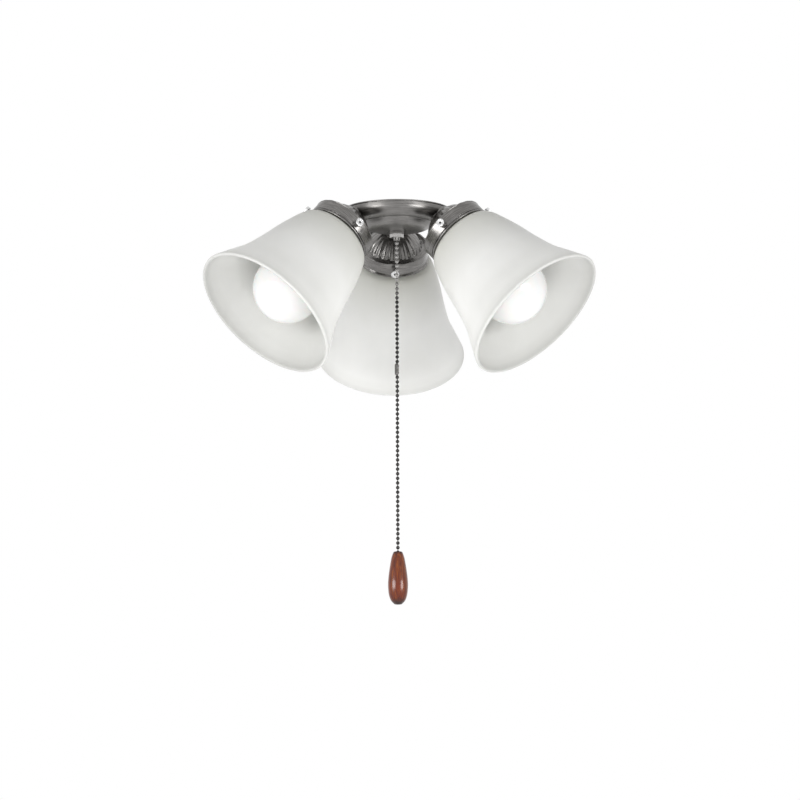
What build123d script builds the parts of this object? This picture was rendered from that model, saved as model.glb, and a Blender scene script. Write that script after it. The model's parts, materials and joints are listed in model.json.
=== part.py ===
from build123d import *
import os
from math import asin, cos, degrees, pi, radians, sin, sqrt, tan

os.makedirs("parts", exist_ok=True)

# Three-arm light kit that hangs under a ceiling fan, in millimetres and degrees.
# Origin: kit axis at the rim plane that meets the fan. +Z up, front faces -Y.

# Layout
arms = ("back", "left", "right")
first_azimuth = 90.0
arm_azimuth = {arm: first_azimuth + i * 360 / len(arms) for i, arm in enumerate(arms)}
shade_tilt = 44.0        # shade axis from straight down
lip_drop = 31.0          # rim plane to the middle of a cup's lip
face_gap = 0.05          # between round faces of one body that touch
running_gap = 0.08       # between a part that turns or slides and its guide
loose_gap = 0.3          # between parts that only lie close
overrun = 2.0            # how far a cut runs past the face it opens

# Pan: one spun housing with a crimped rim, a stepped dish and an angled boss per arm
pan_radius = 45.9
rim_overhang = 0.6
rim_radius = pan_radius + rim_overhang
rim_height = 2.4
rim_round = 0.8
arm_stand = 17.2          # pan's side to the middle of a cup's lip
lip_reach = pan_radius + arm_stand
pan_depth = 12.4
pan_corner = 10.0
pan_wall = 1.0
dish_inset = 14.9         # pan's side to the dish's
dish_radius = pan_radius - dish_inset
dish_side = 0.7
dish_bottom = 19.6
dish_flat = 8.0           # level seat for the switch in the middle of the dish
dish_turn_share = (0.84, 0.68)   # where the dish turns under, of its radius and its depth
boss_radius = 9.0

# Mounting plate with its hollow threaded stem
plate_thickness = 1.2
plate_drop = 0.8
plate_ledge = 0.5
plate_slack = 0.1
stem_radius = 5.0
stem_bore = 3.6
stem_rise = 7.0
stem_relief = 4.6         # under the thread, between the plate and the rim plane
stem_neck = 6.0           # shoulder in the plate's hole
stem_flange_radius = 8.5
stem_flange = 1.4
stem_hole_gap = 0.1

# Shade cups
cup_radius = 30.3
cup_band = 13.4
cup_height = 28.6
cup_wall = 0.8
cup_lip_roll = 0.9
cup_bead = 0.5
cup_groove_depth = 0.9
dome_inset = 4.3
crown_radius = 10.91054
dome_sphere = cup_radius - dome_inset
dome_centre = cup_height - sqrt(dome_sphere ** 2 - crown_radius ** 2)
dome_steps = 5
flute_count = 24
flute_depth = 0.9

# Threaded arm nipples with their hexagon nuts
nipple_radius = 5.0
nipple_bore = 3.5
nut_across_flats = 12.7
nut_height = 3.0
nipple_into_pan = 5.4
nipple_into_socket = 5.0

# Lamp sockets
socket_radius = 17.5
socket_bore = 14.3
socket_crown_radius = 11.5
socket_crown = 6.5
socket_top = cup_height - cup_wall - nut_height   # above the cup's lip
socket_length = 40.8
socket_mouth = socket_length - socket_top         # below the cup's lip
socket_depth = 12.3       # top to the face that the lamp's shell sits on
socket_floor = socket_top - socket_depth
socket_web = 3.0
chamber_radius = 8.5
shell_wall = 0.5
shell_height = 22.0
tongue_width = 6.0
tongue_thickness = 0.5
tongue_length = 11.0

# Lamps
lamp_gap = 3.5            # socket's floor to the tip of the base
lamp_tip = socket_floor - lamp_gap
bulb_radius = 30.0
bulb_length = 78.0        # globe's centre to the tip of the base
bulb_drop = bulb_length - lamp_tip                # cup's lip to the globe's centre
bulb_wall = 1.0
bulb_neck = 13.5
bulb_shoulder = 35.0      # tangent point of neck and globe, degrees above the equator
base_radius = 13.1
base_valley = 12.4
base_length = 26.0
base_skirt = 4.0
base_turns = 4
tip_radius = 4.6
tip_height = 1.6
insulator_height = 2.6

# Glass shades: outer radius at each depth below the cup's lip
shade_wall = 3.0
screw_collar = 0.6        # inside the cup, round a thumbscrew's hole
shade_slack = 0.5         # between the glass's flange and the collars
shade_flange_radius = cup_radius - cup_wall - screw_collar - shade_slack
shade_lip = 1.9
shade_neck = shade_flange_radius - shade_lip
shade_flange = 2.4
shade_neck_height = 11.2
shade_length = 100.65
shade_rim = 66.3
shade_profile_shares = ((0.006, 0.440), (0.038, 0.510), (0.12, 0.564), (0.30, 0.643),
                        (0.50, 0.710), (0.70, 0.793), (0.85, 0.896))

# Thumbscrews
screw_angles = {"back": 60, "left": 85, "right": 35}
screws_per_cup = 3
screw_height = 6.9        # above the cup's lip
screw_radius = 1.75
screw_collar_radius = 3.0
screw_flare = 1.2         # length of the flare under the head
screw_flare_radius = 2.8
screw_stand = 3.4
screw_head_radius = 3.7
screw_head_height = 2.8
screw_knurl_pitch = 1.66
screw_knurls = round(2 * pi * screw_head_radius / screw_knurl_pitch)
screw_knurl = 0.35
screw_dimple_radius = 1.0
screw_dimple = 0.8

# Pull switch
switch_radius = 12.0
switch_height = 12.4
switch_cavity = 2.4
bushing_radius = 4.0
bushing_bore = 2.0
bushing_flange = 6.4
bushing_flange_height = 0.9
bushing_drop = 5.6        # thread below the dish
spout_radius = 2.6
spout_length = 2.2
switch_nut_flats = 11.1
switch_nut_height = 5.2
switch_hole_gap = 0.15

# Ball chain and pull
bead_radius = 1.6
bead_flat_share = 0.36
link_radius = 0.45
bead_sides = 6
pivot_gap = 0.2
first_bead = 29.8         # rim plane down to the bead at the switch's mouth
upper_beads = 27
chain_pitch = 4.02
coupling_span = 5.8       # between the two beads that the coupling grips
coupling_radius = 2.2
coupling_wall = 0.35
coupling_over = 2.5
coupling_eye = 1.35
coupling_slot = 1.5
coupling_pinch = 1.1
lower_beads = 39
inner_beads = 4           # in the switch's bushing
fob_beads = 4             # on and in the wooden pull
fob_length = 45.3
fob_top = 3.9
fob_belly = 8.75
fob_belly_share = 0.6
fob_foot = 3.8
fob_bore = 1.85
fob_counterbore = 3.0
fob_washer = 0.6
plunger_head_radius = 1.9
plunger_head = 2.0


def arm_plane(azimuth):
    """Frame of one arm: origin at the middle of the cup's lip, z up along the shade's axis."""
    a, t = radians(azimuth), radians(shade_tilt)
    out = Vector(cos(a), sin(a), 0)
    up = Axis.Z.direction
    return Plane(origin=out * lip_reach - up * lip_drop,
                 x_dir=out * cos(t) + up * sin(t), z_dir=up * cos(t) - out * sin(t))


def on_arm(shape, arm):
    return arm_plane(arm_azimuth[arm]).location * shape


def spun(*edges):
    """Solid of revolution about z of a closed outline drawn as (radius, height)."""
    return revolve(Plane.XZ * make_face(Curve() + list(edges)), Axis.Z)


def turned(points):
    return spun(*Polyline(*points, close=True).edges())


def tube(outer, inner, low, high):
    return turned([(inner, low), (outer, low), (outer, high), (inner, high)])


def rod(radius, low, high):
    return turned([(0, low), (radius, low), (radius, high), (0, high)])


def prism(radius, sides, low, high, turn=0):
    ring = RegularPolygon(radius, sides, major_radius=False, rotation=turn)
    return extrude(Pos(0, 0, low) * ring, high - low)


def faceted(rings):
    """Solid with flat sides through rings of points that are similar polygons."""
    faces = [Face(Wire.make_polygon(ring, close=True)) for ring in (rings[0], rings[-1])]
    for low, high in zip(rings, rings[1:]):
        for i in range(len(low)):
            corners = [low[i - 1], low[i], high[i], high[i - 1]]
            faces.append(Face(Wire.make_polygon(corners, close=True)))
    return Solid(Shell(faces))


def star_ring(crest, valley, points, height):
    """Ring of points whose radius goes from crest to valley and back."""
    step = pi / points
    return [((crest, valley)[i % 2] * cos(i * step), (crest, valley)[i % 2] * sin(i * step), height)
            for i in range(2 * points)]


def hex_nut(across_flats, bore, low, high, turn=0):
    return prism(across_flats / 2, 6, low, high, turn) - rod(bore, low - overrun, high + overrun)


def save(shape, node):
    shape.label = node
    export_step(shape, f"parts/{node}.step")


# Pan and mounting plate

def pan_outline(inset, top):
    """Half section of the pan's outside, or of its inside when inset by the wall."""
    side, corner = pan_radius - inset, pan_corner - inset
    floor = inset - pan_depth
    dish, foot = dish_radius - inset, floor - dish_side
    bottom = inset - dish_bottom
    turn = (dish * dish_turn_share[0], foot + (bottom - foot) * dish_turn_share[1])
    return [Line((0, top), (side, top)),
            Line((side, top), (side, floor + corner)),
            ThreePointArc((side, floor + corner),
                          (side - corner * (1 - cos(pi / 4)), floor + corner * (1 - cos(pi / 4))),
                          (side - corner, floor)),
            Line((side - corner, floor), (dish, floor)),
            Line((dish, floor), (dish, foot)),
            Spline((dish, foot), turn, (dish_flat, bottom), tangents=[(0, -1), (-1, 0)]),
            Line((dish_flat, bottom), (0, bottom)),
            Line((0, bottom), (0, top))]


def rim():
    top, low, belly = 0, -rim_height, rim_radius
    return spun(Line((0, top), (belly - rim_round, top)),
                ThreePointArc((belly - rim_round, top),
                              (belly - rim_round * (1 - cos(pi / 4)), -rim_round * (1 - cos(pi / 4))),
                              (belly, -rim_round)),
                Line((belly, -rim_round), (belly, low + rim_round)),
                Line((belly, low + rim_round), (pan_radius, low)),
                Line((pan_radius, low), (0, low)),
                Line((0, low), (0, top)))


def boss_blank(radius, face, ceiling):
    """Cylinder on one arm's axis, cut level under the plate."""
    stub = rod(radius, face, cup_height + pan_corner)
    keep = rod(rim_radius + boss_radius, -lip_drop, ceiling)
    return [on_arm(stub, arm) & keep for arm in arm_azimuth]


def pan():
    ledge = -(plate_drop + plate_thickness)
    mouth = pan_radius - pan_wall + plate_ledge + plate_slack
    body = spun(*pan_outline(0, 0)) + rim()
    for stub in boss_blank(boss_radius, cup_height, -rim_round):
        body += stub
    body -= spun(*pan_outline(pan_wall, ledge))
    for well in boss_blank(boss_radius - pan_wall, cup_height + pan_wall, ledge):
        body -= well
    body -= rod(mouth, ledge, -plate_drop)
    body -= rod(pan_radius - pan_wall - plate_ledge, -plate_drop - overrun, overrun)
    for arm in arm_azimuth:
        body -= on_arm(rod(nipple_radius + stem_hole_gap, 0, cup_height + pan_corner), arm)
    return body - rod(bushing_radius + switch_hole_gap, -dish_bottom - overrun, -pan_depth)


def mounting_plate():
    low = -(plate_drop + plate_thickness)
    disc = rod(pan_radius - pan_wall + plate_ledge, low, -plate_drop)
    return disc - rod(stem_neck + stem_hole_gap, low - overrun, overrun)


def mounting_stem():
    """Hollow threaded stem whose shoulder fills the plate's hole, with its flange staked under the plate."""
    seat = -(plate_drop + plate_thickness)
    foot = seat - stem_flange
    body = rod(stem_flange_radius, foot, seat) + rod(stem_neck, foot, -plate_drop)
    body += rod(stem_relief, foot, 0) + rod(stem_radius, 0, stem_rise)
    return body - rod(stem_bore, foot - overrun, stem_rise + overrun)


# Shade cup

def dome_radius(height, inset=0):
    return sqrt((dome_sphere - inset) ** 2 - (height - dome_centre) ** 2)


def flute_ring(height):
    """Star outline of the fluted dome at one height; its flutes grow with its radius."""
    crest = dome_radius(height)
    return star_ring(crest, crest * (1 - flute_depth / cup_radius), flute_count, height)


def fluted_dome(low):
    span = cup_height - low
    return faceted([flute_ring(low + span * sin(pi / 2 * i / dome_steps))
                    for i in range(dome_steps + 1)])


def cup_band_blank():
    """Band with a rolled lip, a bead at its top and a groove round the dome's foot."""
    top, groove = cup_band, cup_band - cup_groove_depth
    crest = top + cup_bead
    return spun(Line((0, 0), (cup_radius, 0)),
                Line((cup_radius, 0), (cup_radius + cup_lip_roll, cup_lip_roll / 2)),
                Line((cup_radius + cup_lip_roll, cup_lip_roll / 2),
                     (cup_radius + cup_lip_roll, cup_lip_roll * 3 / 2)),
                Line((cup_radius + cup_lip_roll, cup_lip_roll * 3 / 2),
                     (cup_radius, 2 * cup_lip_roll)),
                Line((cup_radius, 2 * cup_lip_roll), (cup_radius, top - cup_bead)),
                Line((cup_radius, top - cup_bead), (cup_radius + cup_bead, top)),
                Line((cup_radius + cup_bead, top), (cup_radius, crest)),
                Line((cup_radius, crest), (cup_radius - cup_bead, crest)),
                Line((cup_radius - cup_bead, crest), (cup_radius - cup_bead - cup_wall, groove)),
                Line((cup_radius - cup_bead - cup_wall, groove), (0, groove)),
                Line((0, groove), (0, 0)))


def cup_cavity():
    band = cup_radius - cup_wall
    shelf = cup_band - cup_groove_depth - cup_wall
    inset = cup_wall + flute_depth
    foot, head = cup_band - cup_groove_depth, cup_height - cup_wall
    foot_radius, head_radius = dome_radius(foot, inset), dome_radius(head, inset)
    middle = (foot + head) / 2
    return spun(Line((0, -overrun), (band, -overrun)),
                Line((band, -overrun), (band, shelf)),
                Line((band, shelf), (foot_radius, shelf)),
                Line((foot_radius, shelf), (foot_radius, foot)),
                ThreePointArc((foot_radius, foot), (dome_radius(middle, inset), middle),
                              (head_radius, head)),
                Line((head_radius, head), (0, head)),
                Line((0, head), (0, -overrun)))


def screw_frame(arm, number):
    """Frame of one thumbscrew: z points outwards through the cup's band."""
    angle = radians(screw_angles[arm] + number * 360 / screws_per_cup)
    out = Vector(cos(angle), sin(angle), 0)
    return Plane(origin=(0, 0, screw_height), x_dir=Axis.Z.direction, z_dir=out).location


def shade_cup(arm):
    foot = cup_band - cup_groove_depth
    body = cup_band_blank() + fluted_dome(foot) - cup_cavity()
    inside = cup_radius - cup_wall
    collar = rod(screw_collar_radius, inside - screw_collar, cup_radius - cup_wall / 2)
    hole = rod(screw_radius + running_gap, inside - overrun, cup_radius + overrun)
    for number in range(screws_per_cup):
        body += screw_frame(arm, number) * collar
    for number in range(screws_per_cup):
        body -= screw_frame(arm, number) * hole
    return body - rod(nipple_radius + stem_hole_gap, cup_band, cup_height + overrun)


def arm_nipple():
    low = socket_top - nipple_into_socket
    return tube(nipple_radius, nipple_bore, low, cup_height + nipple_into_pan)


def arm_nuts(arm):
    """The two nuts that clamp a cup's crown against the pan's boss."""
    inside = cup_height - cup_wall
    outside = cup_height + pan_wall
    bore = nipple_radius + face_gap
    flats_up = 360 / 12
    lower = hex_nut(nut_across_flats, bore, inside - nut_height, inside, flats_up)
    upper = hex_nut(nut_across_flats, bore, outside, outside + nut_height, flats_up)
    return [on_arm(lower, arm), on_arm(upper, arm)]


# Socket

def socket_body():
    top = socket_top
    shoulder = top - socket_crown
    seat = top - nipple_into_socket
    blank = turned([(0, -socket_mouth), (socket_radius, -socket_mouth), (socket_radius, shoulder),
                    (socket_crown_radius, top), (0, top)])
    bore = rod(socket_bore, -socket_mouth - overrun, socket_floor)
    chamber = rod(chamber_radius, socket_floor + socket_web, seat)
    wire_ways = [Pos(x, 0, 0) * rod(nipple_bore / 2, socket_floor - overrun, seat)
                 for x in (-chamber_radius / 2, chamber_radius / 2)]
    neck = rod(nipple_radius + face_gap, seat - face_gap, top + overrun)
    return blank - bore - chamber - neck - wire_ways


def socket_shell():
    """Screw shell, open at both ends, that rests on the socket's floor."""
    outer = socket_bore - face_gap
    top = socket_floor
    return tube(outer, outer - shell_wall, top - shell_height, top)


def socket_tongue():
    """Sprung centre contact: a strip riveted to the floor that bends down to the lamp's tip."""
    top = socket_floor
    low = lamp_tip + running_gap
    thick, half = tongue_thickness, tongue_length / 2
    foot = half * 3 / 4
    path = [(-half, top), (-half, top - thick), (-half + foot - thick, top - thick),
            (-thick, low), (half / 2, low), (half / 2, low + thick), (0, low + thick),
            (-half + foot, top)]
    return extrude(Plane.XZ * make_face(Polyline(*path, close=True)), tongue_width / 2, both=True)


# Lamp

def bulb_glass_outline(inset):
    """Half section of the glass, from its neck to the far pole."""
    centre, globe = -bulb_drop, bulb_radius - inset
    neck, start = bulb_neck - inset, lamp_tip - base_length
    a = radians(bulb_shoulder)
    join = (globe * cos(a), centre + globe * sin(a))
    side = (globe * cos(pi / 8), centre - globe * sin(pi / 8))
    return [Line((0, start), (neck, start)),
            Spline((neck, start), join, tangents=[(0, -1), (sin(a), -cos(a))]),
            ThreePointArc(join, side, (0, centre - globe)),
            Line((0, centre - globe), (0, start))]


def bulb_glass():
    """Thin hollow glass; its inside is faceted."""
    inset = bulb_wall + loose_gap
    globe, centre = bulb_radius - inset, -bulb_drop
    start = lamp_tip - base_length - bulb_wall
    neck = bulb_neck - inset
    join = radians(bulb_shoulder)
    middle = ((neck + globe * cos(join)) * 3 / 7, (start + centre + globe * sin(join)) / 2)
    ring = [(globe * cos(a), centre + globe * sin(a)) for a in (join, 0, -join, -2 * join)]
    hollow = turned([(0, start), (neck, start), middle, *ring, (0, centre - globe)])
    return spun(*bulb_glass_outline(0)) - hollow


def bulb_base():
    top = lamp_tip - tip_height - insulator_height
    low = lamp_tip - base_length
    thread = top - low - base_skirt
    pitch = thread / base_turns
    steps = [((base_valley, base_radius)[i % 2], top - i * pitch / 2)
             for i in range(2 * base_turns + 1)]
    outline = [(0, low), (base_radius, low), (base_radius, low + base_skirt / 2)]
    return turned(outline + steps[::-1] + [(0, top)])


def bulb_insulator():
    top = lamp_tip - tip_height
    return turned([(0, top - insulator_height), (base_valley, top - insulator_height),
                   (tip_radius, top), (0, top)])


def bulb_tip():
    top = lamp_tip
    return turned([(0, top - tip_height), (tip_radius, top - tip_height),
                   (tip_radius * 3 / 4, top - tip_height / 3), (0, top)])


# Glass shade

def shade_stations(inset):
    """Outline points below the lip; the inside is the outside moved along its normal."""
    outer = [(shade_rim * r, -shade_length * s) for s, r in shade_profile_shares]
    outer.append((shade_rim, -shade_length))
    moved = []
    for i, (r, z) in enumerate(outer):
        before, after = outer[max(i - 1, 0)], outer[min(i + 1, len(outer) - 1)]
        along = Vector(after[0] - before[0], after[1] - before[1]).normalized()
        moved.append((r + along.Y * inset, z - along.X * inset))
    return moved


def glass_shade():
    outside, inside = shade_stations(0), shade_stations(shade_wall)
    top, under = shade_neck_height, shade_neck_height - shade_flange
    bore = shade_neck - shade_wall
    rim_out, rim_in = outside[-1], inside[-1]
    edge = Vector(*rim_out) - Vector(*rim_in)
    bulge = (Vector(*rim_out) + Vector(*rim_in)) * (1 / 2) + Vector(edge.Y, -edge.X) * (1 / 3)
    waist = -shade_profile_shares[0][0] * shade_length + shade_wall / 3
    return spun(Line((bore, top), (shade_flange_radius, top)),
                Line((shade_flange_radius, top), (shade_flange_radius, under + shade_flange / 3)),
                Line((shade_flange_radius, under + shade_flange / 3), (shade_neck, under)),
                Line((shade_neck, under), (shade_neck, waist)),
                Line((shade_neck, waist), outside[0]),
                Spline(*outside),
                ThreePointArc(rim_out, (bulge.X, bulge.Y), rim_in),
                Spline(*inside[::-1]),
                Line(inside[0], (bore, waist)),
                Line((bore, waist), (bore, top)))


# Thumbscrew, drawn on its own axis with z as the distance from the shade's axis

def thumbscrew():
    tip = shade_neck + face_gap
    seat = cup_radius + loose_gap
    head = seat + screw_stand
    top = head + screw_head_height
    knurl = faceted([star_ring(screw_head_radius, screw_head_radius - screw_knurl, screw_knurls, z)
                     for z in (head, top)])
    shank = turned([(0, tip), (screw_radius / 2, tip), (screw_radius, tip + screw_radius / 2),
                    (screw_radius, head - screw_flare), (screw_flare_radius, head),
                    (screw_flare_radius, top), (0, top)])
    return knurl + shank - rod(screw_dimple_radius, top - screw_dimple, top + overrun)


# Pull switch

def switch_top():
    return -(dish_bottom - pan_wall) + bushing_flange_height + switch_height


def switch_body():
    low = -(dish_bottom - pan_wall) + bushing_flange_height
    body = rod(switch_radius, low, switch_top())
    return body - rod(switch_cavity, low - overrun, switch_top() - pan_wall)


def switch_bushing():
    """Threaded bushing with a flange inside the dish and a spout for the chain."""
    seat = -(dish_bottom - pan_wall)
    foot = -dish_bottom - bushing_drop
    mouth = foot - spout_length
    body = rod(bushing_flange, seat, seat + bushing_flange_height) + rod(bushing_radius, foot, seat)
    body += turned([(0, mouth), (spout_radius, mouth), (spout_radius, foot + face_gap), (0, foot + face_gap)])
    return body - rod(bushing_bore, mouth - overrun, seat + overrun)


def switch_nut():
    top = -dish_bottom
    return hex_nut(switch_nut_flats, bushing_radius + face_gap, top - switch_nut_height, top, 0)


# Ball chain

def chain_ring(radius, z):
    step = 2 * pi / bead_sides
    return [(radius * cos(i * step), radius * sin(i * step), -z) for i in range(bead_sides)]


def chain_run(beads, start=None, end=None):
    """Beads on their links as one solid. Depths are below the rim plane."""
    flat = bead_radius * bead_flat_share
    rings = []
    if start is not None:
        rings.append(chain_ring(link_radius, start))
    for z in beads:
        rings += [chain_ring(link_radius, z - bead_radius), chain_ring(bead_radius, z - flat),
                  chain_ring(bead_radius, z + flat), chain_ring(link_radius, z + bead_radius)]
    if end is not None:
        rings.append(chain_ring(link_radius, end))
    return faceted(rings)


def upper_last():
    return first_bead + upper_beads * chain_pitch


def lower_first():
    return upper_last() + coupling_span


def lower_last():
    return lower_first() + (lower_beads - 1) * chain_pitch


def fob_head():
    return lower_last() + chain_pitch


def plunger():
    """Stem of the switch: a headed run of beads inside the bushing."""
    beads = [first_bead - (i + 1) * chain_pitch for i in range(inner_beads)][::-1]
    head = beads[0] - bead_radius
    run = chain_run(beads, head - link_radius, first_bead - bead_radius - pivot_gap)
    return run + rod(plunger_head_radius, -head, -head + plunger_head)


def upper_chain():
    beads = [first_bead + (i + 1) * chain_pitch for i in range(upper_beads)]
    return chain_run(beads, first_bead + bead_radius + pivot_gap)


def lower_chain():
    return chain_run([lower_first() + i * chain_pitch for i in range(lower_beads)])


def fob_chain():
    beads = [fob_head() + i * chain_pitch for i in range(fob_beads)]
    return chain_run(beads, lower_last() + bead_radius + pivot_gap)


def chain_coupling():
    """Folded clasp that grips the end bead of each chain, open along one side."""
    top, low = -(upper_last() - coupling_over), -(lower_first() + coupling_over)
    r, bore, cap = coupling_radius, coupling_radius - coupling_wall, coupling_wall
    nose = cap / 2
    shell = turned([(0, low), (r - nose, low), (r, low + nose), (r, top - nose),
                    (r - nose, top), (0, top)])
    shell -= rod(bore, low + cap, top - cap)
    shell -= rod(coupling_eye, low - overrun, top + overrun)
    middle = (top + low) / 2
    slot = Box(r, coupling_slot, top - low + nose, align=(Align.MIN, Align.CENTER, Align.CENTER))
    pinch = Pos(r, 0, middle) * Rot(X=90) * Cylinder(coupling_pinch, 2 * r + overrun)
    return shell - Pos(0, 0, middle) * slot - pinch


def pull_fob():
    """Turned wooden pull, bored for the chain from its top and counterbored from its foot."""
    top = -(fob_head() - bead_radius / 4)
    foot = top - fob_length
    belly = (fob_belly, top - fob_length * fob_belly_share)
    body = spun(Line((0, top), (fob_top, top)),
                Spline((fob_top, top), belly, (fob_foot, foot)),
                Line((fob_foot, foot), (0, foot)), Line((0, foot), (0, top)))
    body -= rod(fob_bore, -fob_shoulder() - overrun, top + overrun)
    return body - rod(fob_counterbore, foot - overrun, -fob_shoulder())


def fob_shoulder():
    """Depth of the counterbore's shoulder, between the last two beads."""
    return fob_head() + (fob_beads - 3 / 2) * chain_pitch - fob_washer / 2


def fob_washer_ring():
    return tube(fob_counterbore - face_gap, link_radius + running_gap,
                -fob_shoulder() - fob_washer, -fob_shoulder())


def exit_bead():
    return chain_run([first_bead])


save(pan(), "housing_pan")
save(mounting_plate(), "mounting_plate")
save(mounting_stem(), "mounting_stem")
for arm in arm_azimuth:
    save(on_arm(shade_cup(arm), arm), f"shade_cup_{arm}")
    save(on_arm(arm_nipple(), arm), f"arm_nipple_{arm}")
    save(on_arm(socket_body(), arm), f"socket_body_{arm}")
    save(on_arm(socket_shell(), arm), f"socket_shell_{arm}")
    save(on_arm(socket_tongue(), arm), f"socket_tongue_{arm}")
    save(on_arm(glass_shade(), arm), f"glass_shade_{arm}")
    save(on_arm(bulb_glass(), arm), f"bulb_glass_{arm}")
    save(on_arm(bulb_base(), arm), f"bulb_base_{arm}")
    save(on_arm(bulb_insulator(), arm), f"bulb_insulator_{arm}")
    save(on_arm(bulb_tip(), arm), f"bulb_tip_{arm}")
    for number in range(screws_per_cup):
        save(on_arm(screw_frame(arm, number) * thumbscrew(), arm), f"thumbscrew_{arm}_{number + 1}")
save(Compound([nut for arm in arm_azimuth for nut in arm_nuts(arm)]), "arm_nuts")
save(switch_body(), "switch_body")
save(switch_bushing(), "switch_bushing")
save(switch_nut(), "switch_nut")
save(plunger(), "switch_plunger")
save(exit_bead(), "chain_swivel_bead")
save(upper_chain(), "chain_upper")
save(chain_coupling(), "chain_coupling")
save(lower_chain(), "chain_lower")
save(fob_chain(), "chain_end")
save(pull_fob(), "pull_fob")
save(fob_washer_ring(), "fob_washer")
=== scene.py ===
import json
from math import asin, atan2, cos, pi, radians, sin, sqrt

import bmesh
import bpy
from mathutils import Matrix, Vector


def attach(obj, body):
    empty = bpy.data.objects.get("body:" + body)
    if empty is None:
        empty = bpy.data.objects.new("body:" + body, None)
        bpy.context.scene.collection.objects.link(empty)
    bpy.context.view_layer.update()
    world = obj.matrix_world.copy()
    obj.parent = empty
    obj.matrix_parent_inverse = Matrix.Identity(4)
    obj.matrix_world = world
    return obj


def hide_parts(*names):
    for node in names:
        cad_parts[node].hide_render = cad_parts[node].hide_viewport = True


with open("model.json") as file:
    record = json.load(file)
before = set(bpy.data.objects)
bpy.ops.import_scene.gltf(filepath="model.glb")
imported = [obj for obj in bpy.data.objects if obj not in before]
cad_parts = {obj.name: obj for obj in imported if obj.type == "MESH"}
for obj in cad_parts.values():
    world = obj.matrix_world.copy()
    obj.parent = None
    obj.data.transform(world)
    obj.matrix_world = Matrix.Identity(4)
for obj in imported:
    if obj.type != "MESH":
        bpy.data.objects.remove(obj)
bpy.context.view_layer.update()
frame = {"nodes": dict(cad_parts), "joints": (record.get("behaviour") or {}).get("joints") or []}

# Sizes in metres. The arms' places come from the frame's joints. The rim's lip, the pan's corner, the dish's
# edge, the nut, the clasp's ends and the fob follow the photograph a little more closely than the solids do.
mm = 0.001
arms = ("back", "left", "right")

# Camera and light: a lamp has its place, its width and height, and its power in watts
camera_place = (-0.1758, -3.7499, -0.77707)
camera_aim = (0.0023, 0.0, -0.16806)
camera_roll = -0.22
lens = 197.64
sensor = 36.0
clip = (0.05, 60.0)
white = (1.0, 1.0, 1.0)
light_aim = (0, 0, -0.1)
key_light = ((-2.18, -1.70, -0.04), (1.7, 0.8), 38)
fill_light = ((1.88, -2.03, -0.09), (1.3, 0.8), 30)
front_light = ((0, -1.9, -2.15), (3.2, 2.2), 36)
ambient = 0.36

# Floor: its glow on the object, and its glow for the camera and in reflections
floor_tone = 0.88
floor_roughness = 0.8
floor_glow = (0.42, 0.66)
floor_depth = 3.7
floor_half = 14.0

# Facets round a piece, and the radius under which a point is on its axis
pan_around = 160
plate_around = 128
cup_around = 192
glass_around = 160
lamp_around = 96
cap_around = 64
knurl_around = 112
screw_around = 40
pipe_around = 48
fob_around = 96
bead_around = 20
link_around = 10
on_axis = 1e-7

# Fillets, and the steps in each
hair = 0.1 * mm
fine = 0.2 * mm
small = 0.3 * mm
soft = 0.4 * mm
broad = 0.5 * mm
full = 0.8 * mm
fillet_steps = 5

# Pan
rim_radius = 46.5 * mm
rim_height = 1.5 * mm
lip_round = 0.6 * mm
lip_slant = 0.5 * mm
crimp_depth = 0.4 * mm
wall_top = 2.0 * mm
pan_radius = 45.9 * mm
pan_depth = 12.4 * mm
pan_corner = 10.0 * mm
pan_corner_rise = 8.0 * mm
corner_steps = 16
pan_wall = 1.0 * mm
dish_radius = 33.0 * mm
dish_side = 0.4 * mm
dish_bottom = 19.6 * mm
dish_flat = 8.0 * mm
dish_lead = 1.5 * mm
dish_turn = (0.74, 0.70)
boss_radius = 9.0 * mm
boss_wall = 3 * mm
boss_length = 3.4 * mm
plate_top = 0.8 * mm
plate_thickness = 1.2 * mm
plate_ledge = 0.5 * mm
hole_round = 0.15 * mm
stem_radius = 5.0 * mm
stem_bore = 3.6 * mm
stem_rise = 7.0 * mm
stem_relief = 4.6 * mm
stem_neck = 6.0 * mm
stem_flange_radius = 8.5 * mm
stem_flange = 1.4 * mm
stem_chamfer = 0.6 * mm
stem_chamfer_width = 0.4 * mm
slack = 0.1 * mm
stem_thread = 0.9 * mm
thread_depth = 0.35 * mm
thread_runout_share = 0.25

# Cups: the lip's roll ends at an angle in degrees, and the flutes fade by factors of the dome's height
cup_radius = 30.3 * mm
cup_band = 13.4 * mm
cup_height = 28.6 * mm
cup_wall = 0.8 * mm
cup_roll = 0.9 * mm
cup_bead = 0.5 * mm
roll_tuck = 0.1 * mm
roll_end = 72
lip_height = 0.5 * mm
lip_lead = 0.2 * mm
shelf = 1.0 * mm
groove_foot = 1.9 * mm
groove_depth = 0.9 * mm
dome_sphere = 26.0 * mm
dome_centre = 5.0 * mm
dome_rows = 22
dome_wall = 1.8 * mm
dome_shares = (0.9, 0.75, 0.6)
ridge_depth = 1.2 * mm
crown_inset = 0.3 * mm
crown_wall = 1.5 * mm
crown_hole = 5.2 * mm
flute_count = 24
flute_depth = 0.9 * mm
flute_gain = 1.5
flute_roundness = 1.3
flute_starts = 14
flute_ends = 5

# Lamps: the globe turns into its neck at the shoulder's angle in degrees
bulb_drop = 69.0 * mm
bulb_radius = 30.0 * mm
bulb_length = 78.0 * mm
bulb_neck = 13.5 * mm
bulb_shoulder = 35.0
bulb_handle = 9 * mm
bulb_edge = 1 * mm
bulb_neck_steps = 14
base_radius = 13.1 * mm
base_length = 26.0 * mm
base_skirt = 4.0 * mm
base_pitch = 3.6 * mm
base_valley = 12.4 * mm
skirt_edge = 1.2 * mm
skirt_slope = 1 * mm
tip_height = 1.6 * mm
insulator_height = 2.6 * mm

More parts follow.
